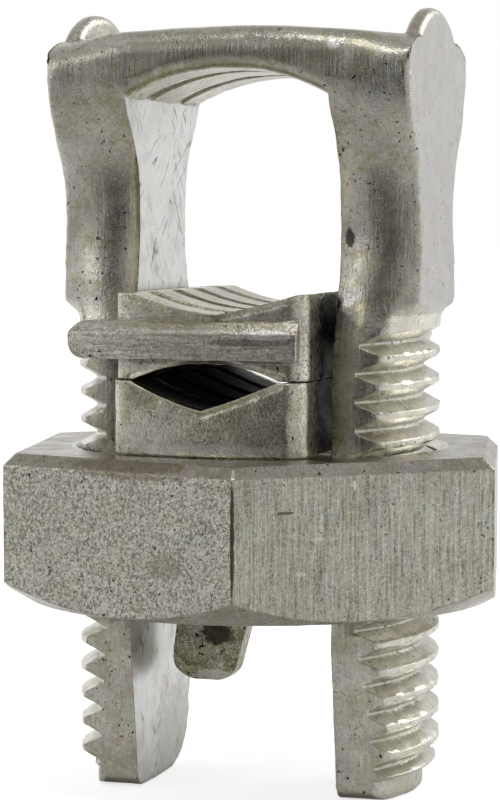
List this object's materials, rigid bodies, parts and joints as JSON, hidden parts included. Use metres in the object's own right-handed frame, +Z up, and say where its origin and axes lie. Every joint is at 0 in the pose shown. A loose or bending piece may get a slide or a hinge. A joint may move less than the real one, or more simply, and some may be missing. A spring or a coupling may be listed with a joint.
{
  "type": "split bolt connector",
  "caption": "Split bolt wire connector: a forged U shaped bolt with a ribbed saddle and threaded legs, a hex nut, a ribbed pressure bar with a tang and a loose spacer bar with retaining lips.",
  "frame": {"origin": "on the bolt axis at the height of the leg ends", "axes": "+Z up along the bolt axis, +Y along the clamped conductors, away from the viewer, +X from the left leg to the right leg"},
  "size_m": [0.0408, 0.042, 0.0607],
  "materials": {
    "bolt_metal": "tin plated copper alloy, as forged and dull",
    "nut_metal": "tin plated copper alloy, drawn flats with fine lines",
    "pressure_bar_metal": "tin plated copper alloy, rough and dull",
    "spacer_bar_metal": "tin plated copper alloy, rough and dull"
  },
  "bodies": {
    "split_bolt": {"split_bolt": "bolt_metal"},
    "pressure_bar": {"pressure_bar": "pressure_bar_metal"},
    "hex_nut": {"hex_nut": "nut_metal"},
    "spacer_bar": {"spacer_bar": "spacer_bar_metal"}
  },
  "joints": [
    {"name": "nut_travel", "type": "slide", "parent": "split_bolt", "child": "pressure_bar", "axis": [0, 0, 1], "range_m": [-0.00692, 0.00865]},
    {"name": "nut_turn", "type": "hinge", "parent": "pressure_bar", "child": "hex_nut", "pos_m": [0, 0, 0.0208], "axis": [0, 0, 1], "range_deg": [-1152, 1440]},
    {"name": "spacer_slide", "type": "slide", "parent": "pressure_bar", "child": "spacer_bar", "axis": [0, 0, 1], "range_m": [0, 0.004]}
  ],
  "couplings": [
    {"joint": "nut_travel", "follows": "nut_turn", "m_per_rad": 0.00034401}
  ]
}
